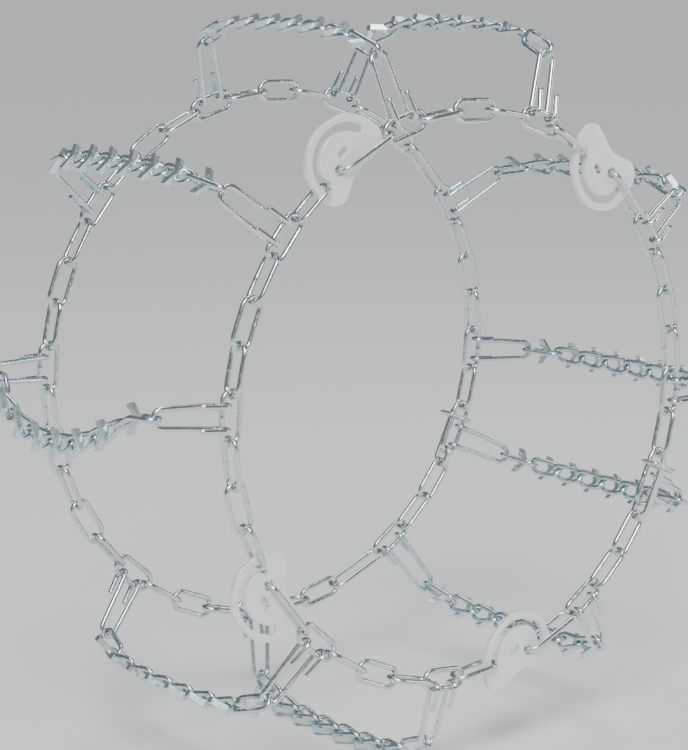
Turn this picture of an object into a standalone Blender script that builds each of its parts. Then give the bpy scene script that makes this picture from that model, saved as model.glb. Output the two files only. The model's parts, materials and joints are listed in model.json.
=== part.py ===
"""Snow chains for one off-road tyre, 25 inches across, in the shape they have when fitted.

Two side chains run round the tyre, one on each wall. Ten cross chains with V-bars lie over the
tread and hang on the side chains by hooks. Four cams take up slack in the outer side chain, and a
lever fastener closes each side chain. The axle is the Y axis and the outer side faces -Y.
Angles round the wheel are in degrees, clockwise from the top as seen from the outer side.
"""

import math

import bmesh
import bpy
from mathutils import Matrix, Vector

# Driving dimensions, in metres and degrees
WIRE = 0.0045  # wire of the side links and the hooks
LINK_PITCH = 0.037  # inside length of a side link
LINK_GAP_WIDTH = 0.012  # inside width of a side link
ANCHOR_PITCH = 0.056  # inside length of the long link that a cam turns in
FASTENER_PITCH = 0.060  # what a closed fastener adds to its side chain
SIDE_Y = 0.135  # from the wheel's centre plane to each side chain
FIRST_ANGLE = 309.0  # the first cross chain, the one the unrolled chain hangs from
CLEARANCE = 0.0003  # between separate pieces that bear on each other
BITE = 0.0008  # how far joined pieces run into each other

PLATE = 0.005  # thickness of a cam
SLOT_WIDTH = 0.0075
SLOT_NEAR = 0.016  # pivot to the slot link when tight
SLOT_FAR = 0.038  # pivot to the slot link when loose
SLOT_SWEEP = 170.0  # a cam's turn from tight to loose
PIVOT_HOLE = 0.0045  # radius
TOOL_HOLE = (0.012, 0.0064)  # length and width of the tightening tool's hole
SLACK = 0.004  # play beyond the slot link of a loose cam
SLOT_LINK_DROP = 0.0016  # keeps the slot link off the hook in the next link

HOOK_SPREAD = 0.019  # between a hook's two arms, at the side chain
HOOK_END_SPREAD = 0.0155  # the same, at its closed end
HOOK_TAIL = 0.018  # length of each bent-back end
HOOK_TOP = (0.300, 0.119)  # a hook's closed end: radius and distance from the centre plane

CROWN_RADIUS = 0.3175  # middle of the cross chain, over the tread's centre
SHOULDER_RADIUS = 0.3085  # the same, at the edge of the tread
SHOULDER_Y = 0.105
STRAP = (0.015, 0.0065)  # width and thickness of a cross chain without its bars
BAR = 0.005  # square section of a V-bar
BAR_SPAN = 0.024  # across the two arms of a V-bar
BAR_POINT = 0.0075  # how far its middle stands ahead of its ends, towards the outer side
BARS = 8  # V-bars on each cross chain
BAR_PITCH = 0.030  # one V-bar to each link, from hook to hook
DRIFT = {10: -0.036}  # cross chains that lie in a bow between the tread blocks

LEVER = (0.0062, 0.0035)  # width and thickness of the fastener's lever
LEVER_NOSE = 0.011  # from the lever's pivot to the link that it holds
KEEPER_WIRE = 0.0035

# The chain's own order, clockwise from the first cross chain. Each run lies between two cross chains.
FACE, EDGE, CAM_LOOSE, CAM_TIGHT, ANCHOR, FASTENER = "face", "edge", "loose", "tight", "anchor", "fastener"
PLAIN = (EDGE, FACE, EDGE)
RUNS = {
    1: (CAM_TIGHT, ANCHOR),
    2: PLAIN,
    3: (CAM_LOOSE, ANCHOR),
    4: PLAIN,
    5: (EDGE,),
    6: (FACE, EDGE),
    7: (ANCHOR, CAM_LOOSE),
    8: PLAIN,
    9: (ANCHOR, CAM_TIGHT, FACE, EDGE),
    10: PLAIN,
}
FASTENED = 6  # the cross chain that hangs on the fasteners
LENGTHS = {
    FACE: LINK_PITCH,
    EDGE: LINK_PITCH,
    CAM_LOOSE: SLOT_FAR + LINK_PITCH,
    CAM_TIGHT: SLOT_NEAR + LINK_PITCH,
    ANCHOR: ANCHOR_PITCH,
    FASTENER: FASTENER_PITCH,
}

HALF_WIDTH = (LINK_GAP_WIDTH + WIRE) / 2
LOOSE = WIRE + CLEARANCE  # between the wires' centres where separate links meet
JOINED = WIRE * math.cos(math.pi / 6) - BITE  # the same, where two links are one solid
WRAP = (WIRE + CLEARANCE) / math.cos(math.pi / 8)  # radius of a hook's bend round a side link
HANDLE_LIFT = WRAP + WIRE / 2 + CLEARANCE + LEVER[1] / 2  # the lever's handle passes over the hook
SPIN = Vector((0.0, 1.0, 0.0))


def clear_scene():
    for obj in list(bpy.data.objects):
        bpy.data.objects.remove(obj, do_unlink=True)


def make_material(name, colour, roughness, metallic):
    material = bpy.data.materials.new(name)
    material.use_nodes = True
    shader = material.node_tree.nodes["Principled BSDF"]
    shader.inputs["Base Color"].default_value = (*colour, 1.0)
    shader.inputs["Roughness"].default_value = roughness
    shader.inputs["Metallic"].default_value = metallic
    return material


clear_scene()
COLLECTION = bpy.data.collections.new("tire_snow_chains")
bpy.context.scene.collection.children.link(COLLECTION)
ZINC = make_material("zinc_side_chain", (0.78, 0.80, 0.80), 0.32, 0.9)
HOOK_STEEL = make_material("zinc_hook", (0.80, 0.82, 0.81), 0.30, 0.9)
BAR_STEEL = make_material("zinc_v_bar_chain", (0.66, 0.72, 0.74), 0.36, 0.9)
CAM_STEEL = make_material("white_zinc_cam", (0.90, 0.90, 0.88), 0.42, 0.5)
LEVER_STEEL = make_material("zinc_fastener", (0.76, 0.78, 0.78), 0.34, 0.9)


# Meshes


def mesh_object(name, mesh, material=None):
    obj = bpy.data.objects.new(name, mesh)
    if material:
        mesh.materials.clear()
        mesh.materials.append(material)
    COLLECTION.objects.link(obj)
    return obj


def baked(obj, name, material=None):
    """A plain mesh object with obj's evaluated shape, in its place. obj is removed."""
    bpy.context.view_layer.update()
    graph = bpy.context.evaluated_depsgraph_get()
    mesh = bpy.data.meshes.new_from_object(obj.evaluated_get(graph))
    mesh.transform(obj.matrix_world)
    bpy.data.objects.remove(obj, do_unlink=True)
    shape = bmesh.new()
    shape.from_mesh(mesh)
    bmesh.ops.remove_doubles(shape, verts=shape.verts, dist=1e-6)
    bmesh.ops.recalc_face_normals(shape, faces=shape.faces)
    shape.to_mesh(mesh)
    shape.free()
    return mesh_object(name, mesh, material)


def wire(name, points, diameter, closed=False, resolution=1):
    """A round wire along the points. resolution 1 gives six sides."""
    curve = bpy.data.curves.new(name, "CURVE")
    curve.dimensions = "3D"
    curve.bevel_depth = diameter / 2
    curve.bevel_resolution = resolution
    curve.use_fill_caps = not closed
    spline = curve.splines.new("POLY")
    spline.points.add(len(points) - 1)
    for target, point in zip(spline.points, points):
        target.co = (*point, 1.0)
    spline.use_cyclic_u = closed
    obj = bpy.data.objects.new(name, curve)
    COLLECTION.objects.link(obj)
    return baked(obj, name)


def plate(name, outlines, thickness, matrix):
    """A flat plate with holes: the first outline is its edge. It is centred on the matrix's XY plane."""
    curve = bpy.data.curves.new(name, "CURVE")
    curve.dimensions = "2D"
    curve.fill_mode = "BOTH"
    curve.extrude = thickness / 2
    for outline in outlines:
        spline = curve.splines.new("POLY")
        spline.points.add(len(outline) - 1)
        for target, (x, y) in zip(spline.points, outline):
            target.co = (x, y, 0.0, 1.0)
        spline.use_cyclic_u = True
    obj = bpy.data.objects.new(name, curve)
    COLLECTION.objects.link(obj)
    obj.matrix_world = matrix
    return baked(obj, name)


def joined(name, pieces, material):
    """The Boolean union of the pieces, as one object."""
    first = pieces[0]
    for piece in pieces[1:]:
        union = first.modifiers.new("union", "BOOLEAN")
        union.operation = "UNION"
        union.solver = "EXACT"
        union.object = piece
    result = baked(first, name, material)
    for piece in pieces[1:]:
        bpy.data.objects.remove(piece, do_unlink=True)
    result.name = name
    return result


def finished(obj, name, material):
    """Gives a single piece its name, its material and smooth shading over its round faces."""
    obj.name = name
    obj.data.materials.clear()
    obj.data.materials.append(material)
    obj.data.shade_smooth()
    obj.data.set_sharp_from_angle(angle=math.radians(50))
    return obj


# The ring


def on_wheel(angle, radius, y):
    turn = math.radians(angle)
    return Vector((radius * math.sin(turn), y, radius * math.cos(turn)))


def outward(angle):
    return on_wheel(angle, 1.0, 0.0)


def clockwise(angle):
    return on_wheel(angle + 90, 1.0, 0.0)


def angle_over(chord, radius):
    return math.degrees(2 * math.asin(chord / (2 * radius)))


def chain_order():
    """(cross chain, kind) of every element, clockwise. The link that carries a cross chain comes first."""
    order = []
    for number, run in RUNS.items():
        order.append((number, FASTENER if number == FASTENED else FACE))
        order += [(number, kind) for kind in run]
    return order


def ring_radius(order):
    """The radius on which all the elements close into a ring."""
    low, high = 0.1, 1.0
    while high - low > 1e-9:
        radius = (low + high) / 2
        if sum(angle_over(LENGTHS[kind], radius) for _, kind in order) > 360:
            low = radius
        else:
            high = radius
    return radius


ORDER = chain_order()
RADIUS = ring_radius(ORDER)


def ring_angles():
    """{(cross chain, place in its run): (start, end)}. Place 0 is the link that carries it."""
    spans, place = {}, {}
    angle = FIRST_ANGLE - angle_over(LINK_PITCH, RADIUS) / 2
    for number, kind in ORDER:
        place[number] = place.get(number, -1) + 1
        end = angle + angle_over(LENGTHS[kind], RADIUS)
        spans[number, place[number]] = (angle, end)
        angle = end
    return spans


SPANS = ring_angles()


def corner(angle, y):
    return on_wheel(angle, RADIUS, y)


def stadium(start, end, side, half_width, bend=None, steps=3):
    """The closed centreline of a link whose end wires pass through start and end. bend is the
    radius of its corners. With steps 3 the middle of each end is straight."""
    along = (end - start).normalized()
    bend = bend or min(half_width, (end - start).length / 2)
    points = []
    for tip, sign in ((end, 1), (start, -1)):
        centre = tip - along * (sign * bend * math.cos(math.pi / 2 / steps))
        for step in range(steps + 1):
            turn = math.pi * step / steps - math.pi / 2
            offset = math.copysign(half_width - bend, turn) + bend * math.sin(turn)
            points.append(centre + along * (sign * bend * math.cos(turn)) + side * (offset * sign))
    return points


def side_link(kind, start, end, meets_start=JOINED, meets_end=JOINED):
    """One side link between two corners of the ring. It reaches past each by half of the distance
    between the two wires' centres there."""
    along = (end - start).normalized()
    side = along.cross(SPIN) if kind == FACE else SPIN
    first = start - along * (meets_start / 2)
    last = end + along * (meets_end / 2)
    return wire(kind, stadium(first, last, side, HALF_WIDTH), WIRE, closed=True)


# Runs of side links, and the cross chain whose solid holds each of them

COUNTER_CLOCKWISE = {10, 9, 8, 7, 6}


def owned_runs(number):
    """The runs that are one solid with a cross chain's own link, as (run, True if it leaves clockwise)."""
    runs = []
    if number not in COUNTER_CLOCKWISE:
        runs.append((number, True))
    if number == 1:
        runs.append((10, False))
    elif number in COUNTER_CLOCKWISE and number != FASTENED:
        runs.append((number - 1, False))
    return runs


def run_elements(run, leaves_clockwise, inner):
    """[(kind, near angle, far angle)] of a run, from its own cross chain outwards.
    The inner side chain has no cams: plain links fill each cam run, and its last link takes the rest."""
    elements = [(kind, *SPANS[run, place + 1]) for place, kind in enumerate(RUNS[run])]
    if inner and ANCHOR in RUNS[run]:
        start, end = elements[0][1], elements[-1][2]
        step = angle_over(LINK_PITCH, RADIUS)
        count = 2 * round(((end - start) / step - 1) / 2) + 1
        angles = [start + step * place for place in range(count)] + [end]
        if not leaves_clockwise:
            angles = [start] + [end - step * place for place in range(count - 1, -1, -1)]
        kinds = [EDGE if place % 2 == 0 else FACE for place in range(count)]
        elements = list(zip(kinds, angles[:-1], angles[1:]))
    if leaves_clockwise:
        return elements
    return [(kind, end, start) for kind, start, end in reversed(elements)]


def side_run(name, number, inner):
    """The links beside one cross chain, as one solid. In a cam run it keeps the links before the cam."""
    y = SIDE_Y if inner else -SIDE_Y
    pieces = []
    if number != FASTENED:
        pieces.append(side_link(FACE, *carrier_ends(number, y), *carrier_meets(number, inner)))
    for run, leaves_clockwise in owned_runs(number):
        elements = run_elements(run, leaves_clockwise, inner)
        cams = [place for place, element in enumerate(elements) if element[0] in (CAM_LOOSE, CAM_TIGHT)]
        elements = elements[: cams[0]] if cams else elements
        for place, (kind, near, far) in enumerate(elements):
            far_meets = LOOSE if place == len(elements) - 1 else JOINED
            pieces.append(side_link(kind, corner(near, y), corner(far, y), JOINED, far_meets))
    return joined(name, pieces, ZINC)


def carrier_ends(number, y):
    start, end = SPANS[number, 0]
    return corner(start, y), corner(end, y)


def carrier_meets(number, inner):
    """The wire distances at the start and the end of the face link that carries a cross chain."""
    meets = []
    for run, leaves_clockwise in ((number - 1 or 10, False), (number, True)):
        owned = (run, leaves_clockwise) in owned_runs(number)
        first = run_elements(run, leaves_clockwise, inner)[0][0]
        meets.append(JOINED if owned and first == EDGE else LOOSE)
    return meets


# Cams


def turned(point, degrees):
    turn = math.radians(degrees)
    x, y = point
    return (x * math.cos(turn) - y * math.sin(turn), x * math.sin(turn) + y * math.cos(turn))


def polar(degrees, radius):
    return turned((radius, 0.0), degrees)


def next_link_angle():
    """How far the link beyond the slot link is turned from it, in degrees."""
    return (angle_over(SLOT_NEAR + LINK_PITCH, RADIUS) + angle_over(LINK_PITCH, RADIUS)) / 2


def slot_point(turn, offset=0.0):
    """A point of the slot. The slot link slides in a straight line as the cam turns, so the middle
    of the slot is where its wire lies, seen from the cam."""
    travel = (SLOT_FAR - SLOT_NEAR) * turn / SLOT_SWEEP
    drop = math.radians(next_link_angle())
    middle = turned((SLOT_NEAR + travel * math.cos(drop), -travel * math.sin(drop)), turn)
    length = math.hypot(*middle)
    return (middle[0] * (1 + offset / length), middle[1] * (1 + offset / length))


def rounded_slot(steps=9):
    turns = [SLOT_SWEEP * step / steps for step in range(steps + 1)]
    half = SLOT_WIDTH / 2
    points = [slot_point(turn, half) for turn in turns]
    points += end_arc(slot_point(SLOT_SWEEP), SLOT_SWEEP, half)
    points += [slot_point(turn, -half) for turn in reversed(turns)]
    points += end_arc(slot_point(0), 180, half)
    return points


def end_arc(centre, heading, radius, steps=4):
    """The points inside a half circle, which starts on the side that heading points to."""
    return [
        (centre[0] + dx, centre[1] + dy)
        for dx, dy in (polar(heading + 180 * step / steps, radius) for step in range(1, steps))
    ]


def circle(centre, radius, sides):
    return [
        (centre[0] + dx, centre[1] + dy)
        for dx, dy in (polar(360 * side / sides, radius) for side in range(sides))
    ]


def cam_outline(steps=3):
    """The kidney-shaped edge, as a smooth closed curve through a few points (degrees, radius)."""
    arm = 0.0108
    edge = [
        (turn, math.hypot(*slot_point(turn)) + arm) for turn in (8, 45, 90, 135, 158)
    ]
    edge += [(177, 0.0498), (190, 0.0500), (200, 0.0455), (205, 0.0375), (210, 0.0285), (224, 0.0190)]
    edge += [(250, 0.0160), (282, 0.0205), (297, 0.0252), (312, 0.0275), (328, 0.0282), (346, 0.0278)]
    points = [Vector(polar(*item)).to_3d() for item in edge]
    smooth = []
    for place in range(len(points)):
        before, start, end, after = (points[(place + k) % len(points)] for k in (-1, 0, 1, 2))
        for step in range(steps):
            t = step / steps
            linear = (end - before) * t
            square = (2 * before - 5 * start + 4 * end - after) * (t * t)
            cube = (3 * start - before - 3 * end + after) * (t * t * t)
            smooth.append((start + (linear + square + cube) / 2).to_2d())
    return [(point.x, point.y) for point in smooth]


def tool_hole():
    length, width = TOOL_HOLE
    centre = Vector((-0.0125, 0.0085))
    half = (length - width) / 2
    right = [(half + x, y) for x, y in (polar(a, width / 2) for a in (-90, -45, 0, 45, 90))]
    outline = right + [(-x, -y) for x, y in right]
    return [tuple(centre + Vector(point)) for point in outline]


def cam_frame(run):
    """Where a cam stands: its pivot, the direction to its slot link, and its other in-plane direction.
    The second direction points away from the axle."""
    places = RUNS[run]
    kind = CAM_TIGHT if CAM_TIGHT in places else CAM_LOOSE
    start, end = SPANS[run, places.index(kind) + 1]
    clockwise_arm = places[0] == kind
    pivot_angle, far_angle = (end, start) if clockwise_arm else (start, end)
    pivot = corner(pivot_angle, -SIDE_Y)
    target = corner(far_angle, -SIDE_Y) - outward(far_angle) * SLOT_LINK_DROP
    ahead = (target - pivot).normalized()
    up = (outward(pivot_angle) - ahead * outward(pivot_angle).dot(ahead)).normalized()
    return kind, pivot, ahead, up, target


def loose_end():
    """(angle, distance) of the slot's far end, seen from the pivot."""
    x, y = slot_point(SLOT_SWEEP)
    return math.degrees(math.atan2(y, x)), math.hypot(x, y)


def build_cam(name, run):
    kind, pivot, ahead, up, _ = cam_frame(run)
    matrix = Matrix.Identity(4)
    for row in range(3):
        matrix[row][0], matrix[row][1] = ahead[row], up[row]
        matrix[row][2], matrix[row][3] = ahead.cross(up)[row], pivot[row]
    if kind == CAM_LOOSE:
        matrix = matrix @ Matrix.Rotation(-math.radians(loose_end()[0]), 4, "Z")
    outlines = [cam_outline(), rounded_slot(), circle((0, 0), PIVOT_HOLE, 12), tool_hole()]
    return finished(plate(name, outlines, PLATE, matrix), name, CAM_STEEL)


def build_slot_link(name, run):
    kind, pivot, ahead, _, target = cam_frame(run)
    near = pivot + ahead * (SLOT_NEAR if kind == CAM_TIGHT else loose_end()[1])
    far = target + ahead * (LOOSE / 2 + (SLACK if kind == CAM_LOOSE else 0.0))
    return finished(wire(name, stadium(near, far, SPIN, HALF_WIDTH), WIRE, True), name, ZINC)


def build_anchor_link(name, run):
    _, pivot, _, _, _ = cam_frame(run)
    places = RUNS[run]
    start, end = SPANS[run, places.index(ANCHOR) + 1]
    far = corner(end if places[-1] == ANCHOR else start, -SIDE_Y)
    along = (far - pivot).normalized()
    points = stadium(pivot, far + along * (LOOSE / 2), SPIN, HALF_WIDTH)
    return finished(wire(name, points, WIRE, True), name, ZINC)


# Fasteners


def fastener_frame(inner):
    """Its lower corner, its upper corner, the direction between them, and the side that its lever is on."""
    y = SIDE_Y if inner else -SIDE_Y
    start, end = SPANS[FASTENED, 0]
    bottom, top = corner(start, y), corner(end, y)
    return bottom, top, (top - bottom).normalized(), SPIN * (1 if inner else -1)


def build_shank(name, inner):
    """The long link that the lever turns on. It lies flat, like the links that carry cross chains."""
    bottom, top, along, front = fastener_frame(inner)
    first = bottom - along * (LOOSE / 2)
    last = top - along * LEVER_NOSE
    points = stadium(first, last, along.cross(front), HALF_WIDTH)
    return finished(wire(name, points, WIRE, True), name, ZINC)


def build_lever(name, inner):
    """A flat bar bent into a hook: it goes round the shank's end wire, holds the next link in its
    nose, and its handle folds back along the shank."""
    bottom, top, along, front = fastener_frame(inner)
    width, thickness = LEVER
    pivot = top - along * LEVER_NOSE
    held = top - along * (LOOSE / 2)
    centre = WIRE / 2 + 3 * CLEARANCE + thickness / 2
    reach = (held - pivot).length
    rows = [(centre * math.sin(a), centre * math.cos(a)) for a in lever_bend(-75, -180)]
    rows += [(reach + centre * math.sin(a), -centre * math.cos(a)) for a in lever_bend(0, 140)]
    rows += [(reach - 0.003, HANDLE_LIFT), (-(pivot - bottom).length + 0.006, HANDLE_LIFT)]
    outline = strip(rows, thickness)
    across = along.cross(front)
    matrix = Matrix.Identity(4)
    for row in range(3):
        matrix[row][0], matrix[row][1] = along[row], front[row]
        matrix[row][2], matrix[row][3] = across[row], pivot[row]
    return finished(plate(name, [outline], width, matrix), name, LEVER_STEEL)


def lever_bend(first, last, steps=6):
    return [math.radians(first + (last - first) * step / steps) for step in range(steps + 1)]


def strip(rows, thickness):
    """The outline of a strip of this thickness along the points."""
    points = [Vector(row) for row in rows]
    left, right = [], []
    for place, point in enumerate(points):
        before = points[max(place - 1, 0)]
        after = points[min(place + 1, len(points) - 1)]
        direction = (after - before).normalized()
        normal = Vector((-direction.y, direction.x)) * (thickness / 2)
        left.append(tuple(point + normal))
        right.append(tuple(point - normal))
    return left + right[::-1]


def build_keeper(name, inner):
    """The ring that holds the lever's handle down on the shank."""
    bottom, _, along, front = fastener_frame(inner)
    thickness = LEVER[1]
    place = bottom + along * 0.0125
    back = -(WIRE / 2 + CLEARANCE + KEEPER_WIRE / 2)
    ahead = HANDLE_LIFT + thickness / 2 + CLEARANCE + KEEPER_WIRE / 2
    start, end = place + front * back, place + front * ahead
    half = HALF_WIDTH + WIRE / 2 + CLEARANCE + KEEPER_WIRE / 2
    points = stadium(start, end, along.cross(front), half, bend=0.003)
    return finished(wire(name, points, KEEPER_WIRE, True), name, LEVER_STEEL)


# Cross chains


def cross_place(number):
    """(angle, radius) of the wire that a cross chain hangs on. Cross chain 6 hangs on the fasteners."""
    start, end = SPANS[number, 0]
    angle = (start + end) / 2
    chord_middle = RADIUS * math.cos(math.radians(end - start) / 2)
    return angle, chord_middle + HALF_WIDTH


def hook_points(number, inner):
    """The centreline of a hook: from a bent-back end, round the side link's wire, to the closed end,
    and back the same way."""
    angle, radius = cross_place(number)
    side = 1 if inner else -1
    along, out = clockwise(angle), outward(angle)
    held = out * radius + SPIN * (side * SIDE_Y)
    top = out * HOOK_TOP[0] + SPIN * (side * HOOK_TOP[1])
    reach = (top - held).normalized()
    front = (SPIN * side - reach * reach.dot(SPIN * side)).normalized()
    wrap = WRAP
    arm = [held + reach * HOOK_TAIL + front * wrap, held + front * wrap]
    for degrees in (45, 90, 135):
        turn = math.radians(degrees)
        arm.append(held + front * (wrap * math.cos(turn)) - reach * (wrap * math.sin(turn)))
    arm.append(held - front * wrap)
    bend = HOOK_END_SPREAD / 2
    first = [point + along * (HOOK_SPREAD / 2) for point in arm]
    second = [point - along * (HOOK_SPREAD / 2) for point in arm]
    closed_end = []
    for degrees in (0, 45, 90, 135, 180):
        turn = math.radians(degrees)
        centre = top - reach * bend
        closed_end.append(centre + along * (bend * math.cos(turn)) + reach * (bend * math.sin(turn)))
    return first + closed_end + second[::-1]


def crown(y):
    """Radius of the cross chain's middle over the tread, at this distance from the centre plane."""
    share = min(abs(y) / SHOULDER_Y, 1.0)
    return CROWN_RADIUS - (CROWN_RADIUS - SHOULDER_RADIUS) * share**2.5


def strap_path(inner_end):
    """(y, radius) along a cross chain, from its outer end link to inner_end."""
    last = SHOULDER_Y + 0.004
    places = [-last + 2 * last * step / (BARS * 2) for step in range(BARS * 2 + 1)]
    return [(y, crown(y)) for y in places] + inner_end


def drift_of(number, y):
    return DRIFT.get(number, 0.0) * max(0.0, 1 - (y / SHOULDER_Y) ** 2)


def build_cross_chain(name, number):
    """The links of a cross chain as one strap, with its V-bars, its outer end link and its inner hook."""
    angle = cross_place(number)[0]
    along, out = clockwise(angle), outward(angle)
    width, thickness = STRAP
    hook_y = HOOK_TOP[1]
    last = strap_path([])[-1]
    to_hook = (Vector((hook_y, HOOK_TOP[0])) - Vector(last)).normalized()
    path = strap_path([tuple(Vector((hook_y, HOOK_TOP[0])) + to_hook * (WIRE / 2))])
    matrix = Matrix.Identity(4)
    for row in range(3):
        matrix[row][0], matrix[row][1], matrix[row][2] = SPIN[row], out[row], SPIN.cross(out)[row]
    pieces = [plate(name, [strip(path, thickness)], width, matrix)]
    end_start = SPIN * -(SHOULDER_Y - 0.002) + out * (SHOULDER_RADIUS - 0.001)
    end_reach = SPIN * -hook_y + out * HOOK_TOP[0]
    end_way = (end_reach - end_start).normalized()
    points = stadium(end_start, end_reach + end_way * LOOSE, along.cross(end_way), 0.0065)
    pieces.append(wire("end", points, WIRE, True))
    pieces.append(wire("hook", hook_points(number, True), WIRE))
    for bar in range(BARS):
        pieces.append(v_bar(bar, matrix))
    chain = joined(name, pieces, BAR_STEEL)
    for vertex in chain.data.vertices:
        vertex.co += along * drift_of(number, vertex.co.y)
    return chain


def v_bar(place, matrix):
    """A short square bar, bent in the middle, that stands on the strap."""
    y = BAR_PITCH * (place - (BARS - 1) / 2)
    slope = (crown(y + 0.002) - crown(y - 0.002)) / 0.004
    half = BAR_SPAN / 2
    bend = BAR_POINT / 2
    line = [(-half, bend), (0.0, -bend), (half, bend)]
    outline = [(ahead + BAR / 2, x) for x, ahead in line]
    outline += [(ahead - BAR / 2, x) for x, ahead in line[::-1]]
    lift = crown(y) + STRAP[1] / 2 + BAR / 2 - BITE
    tilt = math.atan(slope)
    stand = Matrix.Translation((y, lift, 0)) @ Matrix.Rotation(tilt, 4, "Z")
    stand = stand @ Matrix.Rotation(-math.pi / 2, 4, "X")
    return plate("bar", [outline], BAR, matrix @ stand)


# The whole chain


def hold(objects, name, place):
    """Parents the objects to an empty on their joint's axis."""
    empty = bpy.data.objects.new(name, None)
    empty.location = place
    COLLECTION.objects.link(empty)
    bpy.context.view_layer.update()
    for obj in objects:
        obj.parent = empty
        obj.matrix_parent_inverse = empty.matrix_world.inverted()
    return empty


def hook(name, number):
    return finished(wire(name, hook_points(number, False), WIRE), name, HOOK_STEEL)


def build_bay(number):
    """One cross chain with its outer hook and the side links beside it."""
    tag = f"{number:02d}"
    pieces = [
        hook(f"outer_hook_{tag}", number),
        build_cross_chain(f"v_bar_chain_{tag}", number),
    ]
    if number == FASTENED:
        pieces.append(build_shank("outer_fastener_shank", False))
        pieces.append(build_shank("inner_fastener_shank", True))
    else:
        pieces.append(side_run(f"outer_side_chain_{tag}", number, False))
        pieces.append(side_run(f"inner_side_chain_{tag}", number, True))
    hold(pieces, f"bay_{tag}", Vector((0, 0, 0)))


def main():
    for number in RUNS:
        build_bay(number)
    for run, tag in ((1, "upper_left"), (3, "upper_right"), (7, "lower_right"), (9, "lower_left")):
        pivot = cam_frame(run)[1]
        hold([build_cam(f"cam_{tag}", run)], f"cam_{tag}_pivot", pivot)
        hold([build_slot_link(f"slot_link_{tag}", run)], f"slot_link_{tag}_slide", pivot)
        hold([build_anchor_link(f"anchor_link_{tag}", run)], f"anchor_link_{tag}_place", pivot)
    for inner, side in ((False, "outer"), (True, "inner")):
        _, top, along, _ = fastener_frame(inner)
        pivot = top - along * LEVER_NOSE
        hold([build_lever(f"{side}_fastener_lever", inner)], f"{side}_lever_pivot", pivot)
        hold([build_keeper(f"{side}_fastener_keeper", inner)], f"{side}_keeper_slide", pivot)


main()
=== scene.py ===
# %% [markdown]
# # Snow chains for an off-road tire
# The chain hangs in the shape it has on its tire: a side chain on each wall, and ten cross
# chains over the tread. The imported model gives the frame, the sizes and the moving bodies.
# This script makes every link, hook, bar and cam again as a smooth forged or bent piece.

# %% Load the frame
import json
import math
import random
from functools import partial

import bmesh
import bpy
from mathutils import Matrix, Vector

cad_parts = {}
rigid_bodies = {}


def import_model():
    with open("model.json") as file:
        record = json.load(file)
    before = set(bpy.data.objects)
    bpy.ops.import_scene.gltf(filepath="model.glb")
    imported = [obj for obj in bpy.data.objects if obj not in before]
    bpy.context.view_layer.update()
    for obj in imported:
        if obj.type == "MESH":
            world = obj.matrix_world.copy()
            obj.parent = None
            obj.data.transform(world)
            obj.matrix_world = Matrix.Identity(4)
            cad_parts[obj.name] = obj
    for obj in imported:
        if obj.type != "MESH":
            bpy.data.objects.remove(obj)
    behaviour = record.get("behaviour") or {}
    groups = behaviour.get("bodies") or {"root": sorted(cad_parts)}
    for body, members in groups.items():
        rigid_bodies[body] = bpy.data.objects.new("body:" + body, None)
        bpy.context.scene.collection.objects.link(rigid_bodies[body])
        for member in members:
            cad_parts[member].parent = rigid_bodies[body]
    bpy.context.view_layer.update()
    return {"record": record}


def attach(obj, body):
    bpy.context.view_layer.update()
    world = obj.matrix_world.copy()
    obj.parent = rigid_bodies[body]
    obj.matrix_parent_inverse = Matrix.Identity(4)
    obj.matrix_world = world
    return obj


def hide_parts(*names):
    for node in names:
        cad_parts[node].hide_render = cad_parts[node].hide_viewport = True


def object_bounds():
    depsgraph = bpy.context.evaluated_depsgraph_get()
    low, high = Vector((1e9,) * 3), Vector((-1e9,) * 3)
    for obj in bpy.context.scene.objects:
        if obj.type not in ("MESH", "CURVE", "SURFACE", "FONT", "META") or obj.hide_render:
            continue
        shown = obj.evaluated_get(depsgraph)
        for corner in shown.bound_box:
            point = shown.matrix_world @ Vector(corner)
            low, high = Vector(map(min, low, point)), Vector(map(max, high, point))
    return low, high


for startup_object in list(bpy.data.objects):
    bpy.data.objects.remove(startup_object, do_unlink=True)
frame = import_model()

# %% [markdown]
# ## Sizes
# These are the sizes the solids were designed to, in metres and degrees. The axle is Y, and the
# outer side, with the cams, faces -Y. Angles run clockwise from the top, seen from outside.

# %% Sizes
WIRE = 0.0045
LINK_PITCH = 0.037
HALF_WIDTH = (0.012 + WIRE) / 2
GAP = 0.0003
TOUCH = WIRE + GAP
SIDE_Y = 0.135
FIRST_ANGLE = 309.0

SLOT_WIDTH = 0.0075
SLOT_NEAR = 0.016
SLOT_FAR = 0.038
SLOT_SWEEP = 170.0
PLATE = 0.005
SLACK = 0.004
SLOT_LINK_DROP = 0.0016

HOOK_SPREAD = 0.019
HOOK_END_SPREAD = 0.0155
HOOK_TAIL = 0.018
HOOK_TOP = (0.300, 0.119)
WRAP = TOUCH / math.cos(math.pi / 8)

CROWN_RADIUS = 0.3175
SHOULDER_RADIUS = 0.3085
SHOULDER_Y = 0.105
BARS = 8
BAR_PITCH = 0.030
BAR = 0.005
BAR_SPAN = 0.024
BAR_POINT = 0.0075
DRIFT = {10: -0.036}

LEVER = (0.0062, 0.0035)
LEVER_NOSE = 0.011
KEEPER_WIRE = 0.0035
HANDLE_LIFT = WRAP + WIRE / 2 + GAP + LEVER[1] / 2
SPIN = Vector((0.0, 1.0, 0.0))

# %% [markdown]
# ## The order of the links
# A side chain is a ring of links that take turns: one lies flat against the wall, and the next
# stands on edge. The outer ring also holds four cams, each between a slot link and an anchor link.

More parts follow.
